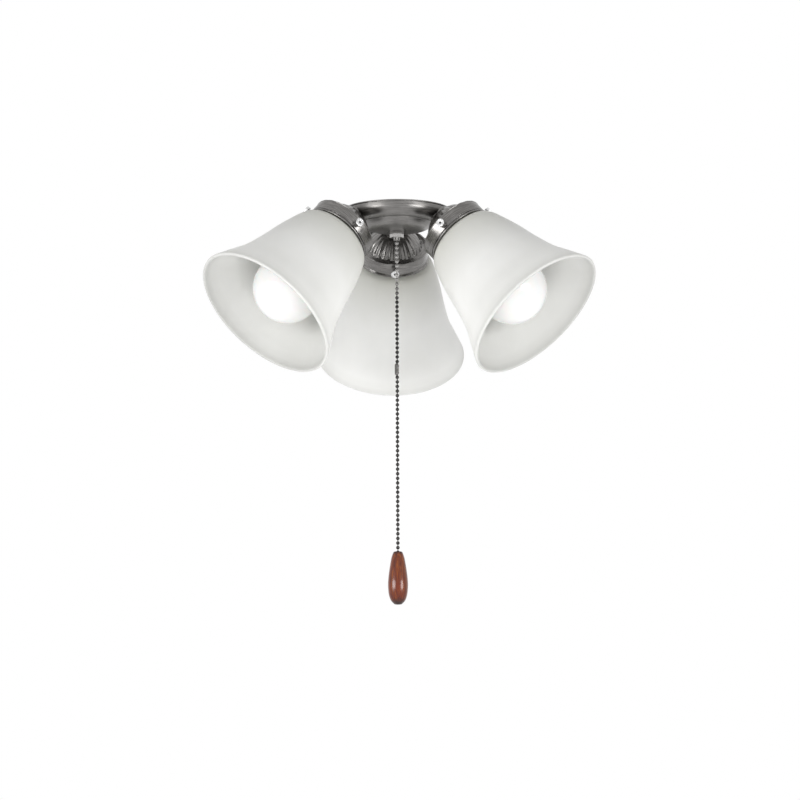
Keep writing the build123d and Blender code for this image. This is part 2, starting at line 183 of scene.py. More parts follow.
# Glass shades: the outline's shares are of the length below the lip and of the rim's radius, and the hem's
# step is in degrees
shade_length = 100.65 * mm
shade_rim = 66.3 * mm
shade_wall = 3.0 * mm
shade_neck = 26.5 * mm
shade_neck_height = 11.2 * mm
shade_flange = 2.4 * mm
shade_flange_radius = 28.4 * mm
shade_neck_foot = 0.4 * mm
shade_neck_round = 0.6 * mm
shade_foot_round = 1.0 * mm
shade_hem_share = 0.8
hem_step = 20
shade_shares = ((0.006, 0.440), (0.038, 0.510), (0.12, 0.564), (0.30, 0.643), (0.50, 0.710),
                (0.70, 0.793), (0.85, 0.896), (1.0, 1.0))

# Thumbscrews: their height above the cup's lip, then places along their own axis from the shade's axis
screw_height = 6.9 * mm
screw_tip = 26.55 * mm
screw_radius = 1.75 * mm
screw_head = 34.0 * mm
screw_flare = 1.2 * mm
screw_flare_radius = 2.8 * mm
screw_flare_steps = 4
screw_head_radius = 3.7 * mm
screw_head_height = 2.8 * mm
screw_knurls = 28
screw_dimple_radius = 1.0 * mm
screw_dimple = 0.8 * mm
screw_dimple_lip = 0.3 * mm
screw_dimple_fall = 0.1 * mm
screw_dimple_edge = 0.35 * mm
screw_face_inset = 0.9 * mm
screw_tip_share = 0.6
screw_tip_cone = 0.8 * mm
knurl_depth = 0.035

# Switch and chain
nut_flats = 10.7 * mm
nut_height = 5.5 * mm
bushing_radius = 4.0 * mm
bushing_drop = 5.6 * mm
bushing_thread = 0.8 * mm
bushing_thread_depth = 0.3 * mm
bushing_chamfer = 0.5 * mm
spout_radius = 2.6 * mm
spout_length = 2.2 * mm
spout_bore = 2.0 * mm
spout_bead = 0.25 * mm
spout_bead_middle = 0.5 * mm
spout_bead_top = 0.9 * mm
bead_radius = 1.6 * mm
bead_rows = 12
bead_dimple = 0.15 * mm
link_radius = 0.45 * mm
link_hole_share = 1.25
plunger_radius = 1.85 * mm
plunger_height = 2 * mm
pivot_gap = 0.2 * mm
first_bead = 29.8 * mm
chain_pitch = 4.02 * mm
upper_beads = 27
coupling_span = 5.8 * mm
lower_beads = 39
inner_beads = 4
fob_beads = 4

# Fob: its stations are shares of the length below the top, with radii in millimetres
fob_length = 45.3 * mm
fob_top = 3.9 * mm
fob_foot = 3.7 * mm
fob_chamfer = 0.4 * mm
fob_edge = 0.3 * mm
fob_bore = 1.85 * mm
fob_bore_depth = 2 * mm
fob_counterbore = (3.0 * mm, 2.9 * mm)
fob_counterbore_depth = 3 * mm
fob_stations = ((0.015, 4.05), (0.05, 4.7), (0.13, 5.8), (0.30, 7.15), (0.47, 8.2), (0.61, 8.68),
                (0.72, 8.5), (0.83, 7.8), (0.93, 6.2))

# Clasp: its ends narrow over the cap's share of its half length, and its middle is pinched over the pinch's
# share. Its front is open by angles in degrees.
coupling_radius = 2.2 * mm
coupling_over = 2.25 * mm
coupling_wall = 0.35 * mm
coupling_rows = 28
cap_share = 0.28
cap_fall = 0.6
pinch_share = 0.38
pinch_depth = 0.42
opening_wide = 62
opening_fall = 34

# Places along the chain, below the rim
upper_last = first_bead + upper_beads * chain_pitch
lower_first = upper_last + coupling_span
lower_last = lower_first + (lower_beads - 1) * chain_pitch
fob_head = lower_last + chain_pitch
run_start = first_bead + bead_radius + pivot_gap
fob_lift = bead_radius / 4

# Materials: scales of noise per metre, bumps as strength and distance, and fades as stops with their tones.
# The glass, chain, screw dimples and fob carry painted light and shade.
cloud_scale = 60.0
scratch_scale = 1600.0
scratch_stretch = (1, 0.12, 0.5)
brush_turn = 3.0
brush_bump = 0.0002
brush_gloss = (0.8, 1.35)
scratch_share = 0.6
patina_level = 0.6
mottle = 0.15
mottle_scale = 900.0
mottle_bump = (0.05, 0.0001)
mottle_gloss = (0.7, 1.4)
# Painted shade in the thumbscrews' dimples
dimple_painted_shade = 0.12
dimple_shade_blur = (0.9, 1.1)
# Painted light and shade on the chain: bright near the switch, dark lower down
chain_painted_light = 0.5
chain_painted_shade = 0.055
chain_light_fade = (-80 * mm, -60 * mm)
frost_scale = 22.0
frost_bump = (0.03, 0.0008)
grain_scale = 2600.0
grain_bump = (0.06, 0.0001)
glass_tones = ((0.77, 0.77, 0.745), (0.81, 0.81, 0.785))
# Painted shade on the glass: darker at the neck and at the hem, by height along the shade
glass_painted_shade = ((0.0, (0.70, 0.70, 0.665)), (0.18, (0.84, 0.84, 0.82)), (0.5, white),
              (0.9, (0.99, 0.99, 0.99)), (0.96, (0.92, 0.92, 0.92)), (1.0, (0.78, 0.78, 0.78)))
# Painted shade: the inside face of the glass is darker than its outside
glass_inside_shade = 0.82
glass_top = 2 * mm
opal_scale = 30.0
opal_tones = ((0.77, 0.77, 0.765), (0.79, 0.79, 0.785))
ring_scale = 520.0
ring_stretch = (1, 1, 0.09)
ring_bump = (0.01, 0.0001)
pore_scale = 2400.0
pore_stretch = (1, 1, 0.03)
board_scale = 90.0
board_stretch = (1, 1, 0.35)
wood_dark = (0.045, 0.006, 0.0005)
wood_middle = (0.14, 0.024, 0.001)
wood_light = (0.27, 0.075, 0.004)
wood_warm = (0.18, 0.011, 0.0005)
wood_pore = (0.025, 0.005, 0.001)
# Painted shade towards the fob's foot, and a darker band at its top
wood_shaded_ends = ((0.02, (0.15, 0.13, 0.12)), (0.11, (0.75, 0.65, 0.6)), (0.3, white), (0.93, white),
             (0.985, (0.3, 0.25, 0.24)))
glaze_scale = 140.0
glaze_shade = 0.88
glaze_bump = (0.1, 0.0003)


# Meshes

def new_piece(name, verts, faces, sharp=35.0, bevel=None):
    """Mesh object with smooth faces and sharp edges where they turn by more than the given angle."""
    mesh = bpy.data.meshes.new(name)
    bm = bmesh.new()
    made = [bm.verts.new(v) for v in verts]
    for face in faces:
        bm.faces.new([made[i] for i in face])
    bmesh.ops.recalc_face_normals(bm, faces=bm.faces)
    if bevel:
        edges = [e for e in bm.edges if len(e.link_faces) == 2 and e.calc_face_angle() > radians(sharp)]
        bmesh.ops.bevel(bm, geom=edges, offset=bevel, segments=2, profile=0.6, affect="EDGES")
    for face in bm.faces:
        face.smooth = True
    for edge in bm.edges:
        edge.smooth = len(edge.link_faces) == 2 and edge.calc_face_angle() < radians(sharp)
    bm.to_mesh(mesh)
    bm.free()
    piece = bpy.data.objects.new(name, mesh)
    bpy.context.scene.collection.objects.link(piece)
    return piece


def rounded(corners):
    """Outline through (radius, height, fillet) corners with arcs in place of the corners."""
    points = []
    count = len(corners)
    for i, (r, z, fillet) in enumerate(corners):
        here = Vector((r, z))
        if not fillet:
            points.append((r, z))
            continue
        back = Vector(corners[i - 1][:2]) - here
        on = Vector(corners[(i + 1) % count][:2]) - here
        turn = pi - back.angle(on)
        reach = fillet * sin(turn / 2) / cos(turn / 2)
        first, last = here + back.normalized() * reach, here + on.normalized() * reach
        centre = here + (back.normalized() + on.normalized()).normalized() * fillet / cos(turn / 2)
        start, end = first - centre, last - centre
        sweep = atan2(start.x * end.y - start.y * end.x, start.dot(end))
        for k in range(fillet_steps + 1):
            a = sweep * k / fillet_steps
            points.append((centre.x + start.x * cos(a) - start.y * sin(a),
                           centre.y + start.x * sin(a) + start.y * cos(a)))
    return points


def smooth_line(stations, steps):
    """Catmull-Rom line through (radius, height) stations."""
    points = []
    for i in range(len(stations) - 1):
        p0 = Vector(stations[max(i - 1, 0)])
        p1, p2 = Vector(stations[i]), Vector(stations[i + 1])
        p3 = Vector(stations[min(i + 2, len(stations) - 1)])
        for k in range(steps):
            t = k / steps
            a = 2 * p1 + (p2 - p0) * t
            b = (2 * p0 - 5 * p1 + 4 * p2 - p3) * t ** 2
            c = (3 * p1 - p0 - 3 * p2 + p3) * t ** 3
            points.append(tuple((a + b + c) / 2))
    return points + [tuple(stations[-1])]


def lathe(name, outline, around, wave=None, closed=True, sharp=35.0):
    """Surface of revolution about z. wave(angle, height) scales the radius."""
    verts, rings, faces = [], [], []
    for r, z in outline:
        if abs(r) < on_axis:
            rings.append([len(verts)] * around)
            verts.append((0, 0, z))
            continue
        rings.append(range(len(verts), len(verts) + around))
        for k in range(around):
            a = 2 * pi * k / around
            s = wave(a, z) if wave else 1
            verts.append((r * s * cos(a), r * s * sin(a), z))
    pairs = list(zip(rings, rings[1:])) + ([(rings[-1], rings[0])] if closed else [])
    for low, high in pairs:
        for k in range(around):
            j = (k + 1) % around
            face = list(dict.fromkeys([low[k], low[j], high[j], high[k]]))
            if len(face) > 2:
                faces.append(face)
    return new_piece(name, verts, faces, sharp)


def threaded(name, crest, valley, pitch, low, high, around, steps=6):
    """Screw thread from low to high, open at both ends, whose crest follows a helix."""
    rows = max(int((high - low) / pitch * steps), 2)
    verts, faces = [], []
    for i in range(rows + 1):
        z = low + (high - low) * i / rows
        fade = min(1, min(i, rows - i) / rows / thread_runout_share)
        for k in range(around):
            a = 2 * pi * k / around
            lift = (0.5 + 0.5 * cos(2 * pi * z / pitch - a)) * fade
            r = valley + (crest - valley) * lift
            verts.append((r * cos(a), r * sin(a), z))
    for i in range(rows):
        for k in range(around):
            j = (k + 1) % around
            faces.append([i * around + k, i * around + j, (i + 1) * around + j, (i + 1) * around + k])
    return new_piece(name, verts, faces, sharp=60)


def prism(name, outline, low, high, bevel):
    """Upright prism of an outline of (x, y) points with bevelled edges."""
    count = len(outline)
    verts = [(x, y, z) for z in (low, high) for x, y in outline]
    faces = [list(range(count))[::-1], [count + i for i in range(count)]]
    faces += [[i, (i + 1) % count, count + (i + 1) % count, count + i] for i in range(count)]
    return new_piece(name, verts, faces, sharp=20, bevel=bevel)


def join(name, pieces):
    """One object from several in the same frame."""
    bm = bmesh.new()
    for piece in pieces:
        bm.from_mesh(piece.data)
    mesh = bpy.data.meshes.new(name)
    bm.to_mesh(mesh)
    bm.free()
    for piece in pieces:
        bpy.data.objects.remove(piece)
    made = bpy.data.objects.new(name, mesh)
    bpy.context.scene.collection.objects.link(made)
    return made


def place(piece, matrix, body, material, slot, *nodes):
    """Sets a piece in its frame, on its body, in its material, in place of its CAD nodes."""
    piece.matrix_world = matrix
    piece.data.materials.append(material)
    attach(piece, body)
    if nodes:
        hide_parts(*nodes)
    return piece


# The shared frame, and the frames of the arms and of their thumbscrews from the joints

shared = Matrix.Identity(4)
joints = {joint["name"]: joint for joint in frame["joints"]}


def axes(origin, x, z):
    """Frame at a place, from its x and z directions."""
    x, z = Vector(x).normalized(), Vector(z).normalized()
    y = z.cross(x)
    return Matrix.Translation(origin) @ Matrix((x, y, z)).transposed().to_4x4()


def arm_frame(arm):
    """Origin at the middle of the cup's lip, z up along the shade's axis, x outwards."""
    joint = joints[f"lamp_turn_{arm}"]
    up = -Vector(joint["axis"])
    out = Vector((joint["axis"][0], joint["axis"][1], 0)).normalized()
    return axes(joint["pos_m"], out - up * out.dot(up), up)


def screw_frame(arm, number):
    """Origin on the shade's axis at the screw's height, z outwards along the screw."""
    local = arm_frame(arm)
    up = Vector(local.col[2][:3])
    out = Vector(joints[f"screw_back_off_{arm}_{number}"]["axis"])
    return axes(local @ Vector((0, 0, screw_height)), up, out)


# Node helpers

class Shader:
    """Principled material with helpers that link procedural detail to its sockets."""

    def __init__(self, name, colour, roughness, metallic=0.0, **settings):
        self.material = bpy.data.materials.new(name)
        self.material.use_nodes = True
        self.tree = self.material.node_tree
        self.shader = self.tree.nodes["Principled BSDF"]
        self.set("Base Color", (*colour, 1))
        self.set("Roughness", roughness)
        self.set("Metallic", metallic)
        for socket, value in settings.items():
            self.set(socket.replace("_", " "), value)

    def set(self, socket, value):
        self.shader.inputs[socket].default_value = value

    def node(self, kind, **settings):
        made = self.tree.nodes.new(kind)
        for name, value in settings.items():
            setattr(made, name, value)
        return made

    def link(self, source, target):
        self.tree.links.new(source, target)

    def coordinates(self, scale=(1, 1, 1)):
        source = self.node("ShaderNodeTexCoord")
        mapping = self.node("ShaderNodeMapping")
        mapping.inputs["Scale"].default_value = scale
        self.link(source.outputs["Object"], mapping.inputs["Vector"])
        return mapping.outputs["Vector"]

    def around_axis(self, turn_scale, length_scale):
        """Coordinates that change slowly round the piece's z axis and quickly along its outline."""
        source = self.node("ShaderNodeTexCoord")
        split = self.node("ShaderNodeSeparateXYZ")
        self.link(source.outputs["Object"], split.inputs[0])
        flat = self.node("ShaderNodeCombineXYZ")
        self.link(split.outputs["X"], flat.inputs["X"])
        self.link(split.outputs["Y"], flat.inputs["Y"])
        length = self.node("ShaderNodeVectorMath", operation="LENGTH")
        unit = self.node("ShaderNodeVectorMath", operation="NORMALIZE")
        turn = self.node("ShaderNodeVectorMath", operation="SCALE")
        turn.inputs["Scale"].default_value = turn_scale
        self.link(flat.outputs[0], length.inputs[0])
        self.link(flat.outputs[0], unit.inputs[0])
        self.link(unit.outputs["Vector"], turn.inputs[0])
        along = self.node("ShaderNodeMath", operation="ADD")
        self.link(length.outputs["Value"], along.inputs[0])
        self.link(split.outputs["Z"], along.inputs[1])
        scaled = self.node("ShaderNodeMath", operation="MULTIPLY")
        scaled.inputs[1].default_value = length_scale
        self.link(along.outputs[0], scaled.inputs[0])
        lift = self.node("ShaderNodeCombineXYZ")
        self.link(scaled.outputs[0], lift.inputs["Z"])
        total = self.node("ShaderNodeVectorMath", operation="ADD")
        self.link(turn.outputs["Vector"], total.inputs[0])
        self.link(lift.outputs[0], total.inputs[1])
        return total.outputs["Vector"]

    def height(self, vector):
        split = self.node("ShaderNodeSeparateXYZ")
        self.link(vector, split.inputs[0])
        return split.outputs["Z"]

    def stored(self, name, output="Vector"):
        return self.node("ShaderNodeAttribute", attribute_name=name).outputs[output]

    def noise(self, vector, scale, detail=4.0, rough=0.55):
        made = self.node("ShaderNodeTexNoise")
        made.inputs["Scale"].default_value = scale
        made.inputs["Detail"].default_value = detail
        made.inputs["Roughness"].default_value = rough
        self.link(vector, made.inputs["Vector"])
        return made.outputs["Fac"]

    def ramp(self, factor, stops):
        made = self.node("ShaderNodeValToRGB")
        band = made.color_ramp
        while len(band.elements) < len(stops):
            band.elements.new(0.5)
        for element, (stop, colour) in zip(band.elements, stops):
            element.position = stop
            element.color = (*colour, 1)
        self.link(factor, made.inputs["Fac"])
        return made.outputs["Color"]

    def spread(self, factor, low, high, start=0.3, end=0.7):
        made = self.node("ShaderNodeMapRange")
        for name, value in (("From Min", start), ("From Max", end), ("To Min", low), ("To Max", high)):
            made.inputs[name].default_value = value
        self.link(factor, made.inputs["Value"])
        return made.outputs["Result"]

    def mixed(self, factor, first, second, blend="MIX"):
        made = self.node("ShaderNodeMix", data_type="RGBA", blend_type=blend)
        for socket, value in ((made.inputs[0], factor), (made.inputs[6], first), (made.inputs[7], second)):
            if isinstance(value, bpy.types.NodeSocket):
                self.link(value, socket)
            else:
                socket.default_value = value if isinstance(value, float) else (*value, 1)
        return made.outputs[2]

    def bump(self, *heights):
        """Chains (height, strength, distance) bumps into the shader's normal."""
        last = None
        for height, strength, distance in heights:
            made = self.node("ShaderNodeBump")
            made.inputs["Strength"].default_value = strength
            made.inputs["Distance"].default_value = distance
            self.link(height, made.inputs["Height"])
            if last:
                self.link(last, made.inputs["Normal"])
            last = made.outputs["Normal"]
        self.link(last, self.shader.inputs["Normal"])


def grey(level, warm=0.0):
    return (level * (1 + warm), level, level * (1 - warm))


def brushed(name, level, roughness, streak, depth=0.12, spread=0.35):
    """Plating brushed round the piece's axis, with clouds of patina and fine random scratches."""
    made = Shader(name, grey(level, 0.03), roughness, 1.0, Anisotropic=0.4, Anisotropic_Rotation=0.25)
    lines = made.noise(made.around_axis(brush_turn, streak), 1.0, detail=3.0)
    cloud = made.noise(made.coordinates(), cloud_scale, detail=3.0)
    scratch = made.noise(made.coordinates(scratch_stretch), scratch_scale, detail=2.0)
    dark, light = grey(level * (1 - spread), 0.03), grey(level * (1 + spread), 0.03)
    tone = made.ramp(lines, [(0.3, dark), (0.7, light)])
    clouded = made.spread(cloud, 0.0, 0.5, start=0.4, end=0.75)
    patina = made.mixed(clouded, tone, grey(level * patina_level, 0.05))
    made.link(patina, made.shader.inputs["Base Color"])
    gloss = made.spread(lines, *(roughness * share for share in brush_gloss))
    made.link(gloss, made.shader.inputs["Roughness"])
    made.bump((lines, depth, brush_bump), (scratch, depth * scratch_share, brush_bump / 2))
    return made.material


def polished(name, colour, roughness):
    """Plated small hardware: near mirror with faint mottling."""
    made = Shader(name, colour, roughness, 1.0)
    cloud = made.noise(made.coordinates(), mottle_scale, detail=3.0)
    low = tuple(c * (1 - mottle) for c in colour)
    high = tuple(min(c * (1 + mottle), 1) for c in colour)
    made.link(made.ramp(cloud, [(0.35, low), (0.65, high)]), made.shader.inputs["Base Color"])
    gloss = made.spread(cloud, *(roughness * share for share in mottle_gloss))
    made.link(gloss, made.shader.inputs["Roughness"])
    made.bump((cloud, *mottle_bump))
    return made.material


def worn(made, tone, low, high, smooth, rough):
    """Gives a tone mottling between two greys, and a gloss that follows the mottling."""
    cloud = made.noise(made.coordinates(), mottle_scale, detail=3.0)
    mottled = made.ramp(cloud, [(0.35, grey(low)), (0.65, grey(high))])
    made.link(made.mixed(1.0, mottled, tone, "MULTIPLY"), made.shader.inputs["Base Color"])
    made.link(made.spread(cloud, smooth, rough), made.shader.inputs["Roughness"])
    made.bump((cloud, *mottle_bump))
    return made.material


def screw_plating():
    """Bright nickel with painted shade in the head's dimple."""
    made = Shader("screw_metal", grey(0.7), 0.16, 1.0)
    # Painted shade: darkens the head's dimple by distance from the screw's axis
    flat = made.node("ShaderNodeVectorMath", operation="MULTIPLY")
    flat.inputs[1].default_value = (1, 1, 0)
    made.link(made.coordinates(), flat.inputs[0])
    reach = made.node("ShaderNodeVectorMath", operation="LENGTH")
    made.link(flat.outputs["Vector"], reach.inputs[0])
    start, end = (screw_dimple_radius * share for share in dimple_shade_blur)
    pit = made.spread(reach.outputs["Value"], 0.0, 1.0, start, end)
    tone = made.ramp(pit, [(0.0, grey(dimple_painted_shade)), (1.0, white)])
    return worn(made, tone, low=0.55, high=0.75, smooth=0.1, rough=0.24)


def chain_plating():
    """Nickel plating with painted light near the switch and painted shade below it."""
    made = Shader("chain_metal", grey(0.1), 0.22, 1.0)
    # Painted light and shade by height: dark below, bright near the switch
    depth = made.spread(made.height(made.coordinates()), 0.0, 1.0, *chain_light_fade)
    plain = made.ramp(depth, [(0.0, grey(chain_painted_shade, 0.03)), (1.0, grey(chain_painted_light, 0.02))])
    return worn(made, plain, low=0.8, high=1.0, smooth=0.16, rough=0.3)


def frosted_glass():
    """Etched white glass: soft sheen, a faint green-grey cast, slightly uneven, with painted shade at neck
    and hem and on its inside.
    """
    made = Shader("frosted_glass", (0.79, 0.79, 0.765), 0.42, IOR=1.5, Subsurface_Weight=0.6,
                  Subsurface_Scale=0.01, Specular_IOR_Level=0.35)
    made.set("Subsurface Radius", (1.0, 1.0, 0.95))
    own = made.stored("own_place")
    cloud = made.noise(own, frost_scale, detail=3.0)
    grain = made.noise(own, grain_scale, detail=2.0)
    # Painted shade: the glass darkens towards the neck and the hem by its height along the shade
    depth = made.spread(made.height(own), 1.0, 0.0, -shade_length, glass_top)
    tone = made.ramp(cloud, [(0.3, glass_tones[0]), (0.7, glass_tones[1])])
    tone = made.mixed(1.0, tone, made.ramp(depth, glass_painted_shade), "MULTIPLY")
    # Painted shade: faces that look inwards are darker than faces that look outwards
    inner = made.ramp(made.stored("outside", "Fac"), [(0, grey(glass_inside_shade)), (1, white)])
    made.link(made.mixed(1.0, tone, inner, "MULTIPLY"), made.shader.inputs["Base Color"])
    made.link(made.spread(grain, 0.36, 0.5), made.shader.inputs["Roughness"])
    made.bump((grain, *grain_bump), (cloud, *frost_bump))
    return made.material


def lamp_glass():
    """Opal lamp glass, white inside and smooth outside, with a faint painted glow."""
    # Painted light: a faint emission makes the unlit lamp read brighter
    made = Shader("lamp_glass", (0.78, 0.78, 0.775), 0.16, IOR=1.5, Subsurface_Weight=0.2,
                  Subsurface_Scale=0.004, Coat_Weight=0.3, Coat_Roughness=0.05, Emission_Strength=0.06)
    made.set("Emission Color", (1, 1, 0.99, 1))
    cloud = made.noise(made.coordinates(), opal_scale, detail=2.0)
    tone = made.ramp(cloud, [(0.3, opal_tones[0]), (0.7, opal_tones[1])])
    made.link(tone, made.shader.inputs["Base Color"])
    made.link(made.spread(cloud, 0.12, 0.2), made.shader.inputs["Roughness"])
    return made.material


def walnut():
    """Lacquered walnut turned along its grain, with painted shade towards its foot and darker at its top."""
    made = Shader("walnut", wood_middle, 0.3, Specular_IOR_Level=0.1, Coat_Weight=0.8,
                  Coat_Roughness=0.14, Coat_IOR=1.5)
    rings = made.noise(made.coordinates(ring_stretch), ring_scale, rough=0.6)
    pores = made.noise(made.coordinates(pore_stretch), pore_scale, detail=2.0)
    boards = made.noise(made.coordinates(board_stretch), board_scale, detail=2.0)
    tone = made.ramp(rings, [(0.3, wood_dark), (0.5, wood_middle), (0.7, wood_light)])
    warm = made.mixed(made.spread(boards, 0.0, 0.5), tone, wood_warm)
    lined = made.mixed(made.spread(pores, 0.0, 0.4, start=0.55, end=0.75), warm, wood_pore)
    # Painted shade towards the foot and a darker top, by height along the fob
    top = fob_lift - fob_head
    height = made.spread(made.height(made.coordinates()), 0.0, 1.0, top - fob_length, top)
    end_shaded = made.mixed(1.0, lined, made.ramp(height, wood_shaded_ends), "MULTIPLY")
    made.link(end_shaded, made.shader.inputs["Base Color"])
    made.bump((rings, *ring_bump))
    return made.material


def glazed(name, colour, roughness=0.2):
    """Moulded or glazed insulating parts."""
    made = Shader(name, colour, roughness, Coat_Weight=0.4, Coat_Roughness=0.1)
    cloud = made.noise(made.coordinates(), glaze_scale, detail=3.0)
    low = tuple(c * glaze_shade for c in colour)
    made.link(made.ramp(cloud, [(0.3, low), (0.7, colour)]), made.shader.inputs["Base Color"])
    made.bump((cloud, *glaze_bump))
    return made.material


pan_metal = brushed("pan_metal", level=0.20, roughness=0.31, streak=1400.0)
cup_metal = brushed("cup_metal", level=0.185, roughness=0.24, streak=1100.0, depth=0.1)
screw_metal = screw_plating()
switch_metal = polished("switch_metal", grey(0.42, 0.02), roughness=0.14)
chain_metal = chain_plating()
coupling_metal = polished("coupling_metal", grey(0.16, 0.03), roughness=0.22)
zinc = brushed("zinc", level=0.38, roughness=0.34, streak=1200.0, depth=0.1, spread=0.12)
brass = polished("contact_brass", (0.72, 0.50, 0.20), roughness=0.25)
aluminium = polished("lamp_base", grey(0.68), roughness=0.24)
solder = polished("lamp_tip", grey(0.55), roughness=0.35)
frosted = frosted_glass()
opal = lamp_glass()
wood = walnut()
porcelain = glazed("porcelain", (0.84, 0.83, 0.79))
black_glass = glazed("lamp_insulator", (0.02, 0.02, 0.022))
bakelite = glazed("switch_case", (0.035, 0.033, 0.03), roughness=0.4)


# Pan

def arc(centre, radius, start, end, steps):
    """Points on a circle between two angles in degrees."""
    return [(centre[0] + radius * cos(radians(start + (end - start) * k / steps)),
             centre[1] + radius * sin(radians(start + (end - start) * k / steps))) for k in range(steps + 1)]


def pan_side(inset):
    """Outside of the pan from its side to the middle of the dish, or its inside when inset."""
    side, run, rise = pan_radius - inset, pan_corner - inset, pan_corner_rise - inset
    floor = inset - pan_depth
    dish, foot, bottom = dish_radius - inset, inset - pan_depth - dish_side, inset - dish_bottom
    points = [(side - run + run * cos(radians(a)), floor + rise - rise * sin(radians(a)))
              for a in (90 * k / corner_steps for k in range(corner_steps + 1))]
    points += rounded([(dish + dish_lead, floor, 0), (dish, floor, broad), (dish, foot, 0)])[1:-1]
    turn = (dish * dish_turn[0], foot + (bottom - foot) * dish_turn[1])
    points += smooth_line([(dish, foot), turn, (dish_flat, bottom)], steps=10)
    return points


def pan():
    lip = rounded([(pan_radius - pan_wall - plate_ledge, 0, small), (rim_radius, 0, lip_round),
                   (rim_radius, lip_slant - rim_height, small), (pan_radius, -rim_height, small)])
    outside = pan_side(0) + [(bushing_radius, -dish_bottom)]
    inside = [(bushing_radius, pan_wall - dish_bottom)] + pan_side(pan_wall)[::-1]
    top = [(pan_radius - pan_wall, -wall_top), (pan_radius - pan_wall - plate_ledge, -crimp_depth)]
    return lathe("pan", lip + outside + inside + top, pan_around)


def boss(arm):
    """Angled stub of the pan that a cup's crown is clamped to."""
    ring = rounded([(boss_radius - boss_wall, cup_height, 0), (boss_radius, cup_height, soft),
                    (boss_radius, cup_height + boss_length, 0)])
    return lathe(f"pan_boss_{arm}", ring, pipe_around, closed=False)


place(pan(), shared, "kit", pan_metal, "pan_metal", "housing_pan")
for arm in arms:
    place(boss(arm), arm_frame(arm), "kit", pan_metal, "pan_metal", "housing_pan")


def plate():
    low, hole = -plate_top - plate_thickness, stem_neck + slack
    edge = pan_radius - pan_wall + plate_ledge
    outline = rounded([(hole, low, 0), (edge, low, hair), (edge, -plate_top, small),
                       (hole, -plate_top, hole_round)])
    return lathe("mounting_disc", outline, plate_around)


def stem():
    """Thread over a relief groove, a shoulder in the plate's hole and a flange under it."""
    seat = -plate_top - plate_thickness
    foot, end = seat - stem_flange, stem_radius - thread_depth
    shoulder = stem_rise - stem_chamfer
    thread = threaded("stem_thread", stem_radius, end, stem_thread, 0, shoulder, pipe_around)
    outline = [(end, shoulder), (end - stem_chamfer_width, stem_rise), (stem_bore, stem_rise),
               (stem_bore, foot), (stem_flange_radius, foot), (stem_flange_radius, seat), (stem_neck, seat),
               (stem_neck, -plate_top), (stem_relief, -plate_top), (stem_relief, 0), (end, 0)]
    pipe = lathe("stem_pipe", outline, pipe_around, closed=False)
    return join("hanging_stem", [thread, pipe])


place(plate(), shared, "kit", zinc, "zinc", "mounting_plate")
place(stem(), shared, "kit", zinc, "zinc", "mounting_stem")


# Cups

def dome_radius(height):
    """Radius of the cup's round dome at a height."""
    return sqrt(dome_sphere ** 2 - (height - dome_centre) ** 2)


def flutes(angle, height):
    """Rounded ribs on the dome that fade out towards the groove and the crown."""
    if height < cup_band or abs(height) > cup_height:
        return 1.0
    share = (height - cup_band) / (cup_height - cup_band)
    fade = min(1, share * flute_starts) * min(1, (1 - share) * flute_ends)
    dip = abs(sin(angle * flute_count / 2)) ** flute_roundness
    return 1 - flute_depth / cup_radius * flute_gain * (1 - dip) * fade


def cup(arm):
    top, groove = cup_band, cup_band - groove_depth
    bead_top, ridge = top + cup_bead, cup_height - ridge_depth
    inner = cup_radius - cup_wall
    roll = arc((cup_radius - roll_tuck, cup_roll), cup_roll, -90, roll_end, steps=12)
    band = [(inner, lip_height), (inner + lip_lead, 0)] + roll
    band += rounded([(cup_radius, cup_roll * 2, hair), (cup_radius, top - cup_bead, fine),
                     (cup_radius + cup_bead, top, broad), (cup_radius, bead_top, small),
                     (cup_radius - shelf, bead_top, small), (cup_radius - groove_foot, groove, small)])
    heights = [groove + (ridge - groove) * k / dome_rows for k in range(1, dome_rows + 1)]
    dome = [(dome_radius(z), z) for z in heights]
    edge, ceiling = dome_radius(cup_height), cup_height - cup_wall
    crown = rounded([(dome_radius(ridge), ridge, 0), (edge - crown_inset, cup_height, broad),
                     (crown_hole, cup_height, 0)])[1:]
    under = [(crown_hole, ceiling), (edge - crown_wall, ceiling)]
    under += [(dome_radius(z) - dome_wall, z) for z in (cup_height * share for share in dome_shares)]
    under += [(dome_radius(groove) - dome_wall, groove - cup_wall), (inner, groove - cup_wall)]
    return lathe(f"cup_{arm}", band + dome + crown + under, cup_around, flutes, sharp=50)


for arm in arms:
    place(cup(arm), arm_frame(arm), "kit", cup_metal, "cup_metal", f"shade_cup_{arm}")


# Glass shades

def shade_outline():
    """Flanged neck and flared side, with an even wall inside it and a rounded hem."""
    outer = smooth_line([(shade_rim * r, -shade_length * s) for s, r in shade_shares], steps=7)
    inner = []
    for i, (r, z) in enumerate(outer):
        before, after = outer[max(i - 1, 0)], outer[min(i + 1, len(outer) - 1)]
        along = Vector((after[0] - before[0], after[1] - before[1])).normalized()
        inner.append((r + along.y * shade_wall, z - along.x * shade_wall))
    edge, hem = Vector(outer[-1]), Vector(inner[-1])
    middle, half = (edge + hem) / 2, (edge - hem) / 2
    out = Vector((half.y, -half.x)) * shade_hem_share
    turns = [radians(a) for a in range(hem_step, 180, hem_step)]
    lip = [tuple(middle + half * cos(a) + out * sin(a)) for a in turns]
    top, under = shade_neck_height, shade_neck_height - shade_flange
    bore = shade_neck - shade_wall
    neck = rounded([(bore, top, full), (shade_flange_radius, top, full), (shade_flange_radius, under, full),
                    (shade_neck, under, shade_neck_round), (shade_neck, shade_neck_foot, shade_foot_round)])
    return neck + outer + lip + inner[::-1] + [(bore, 0)]


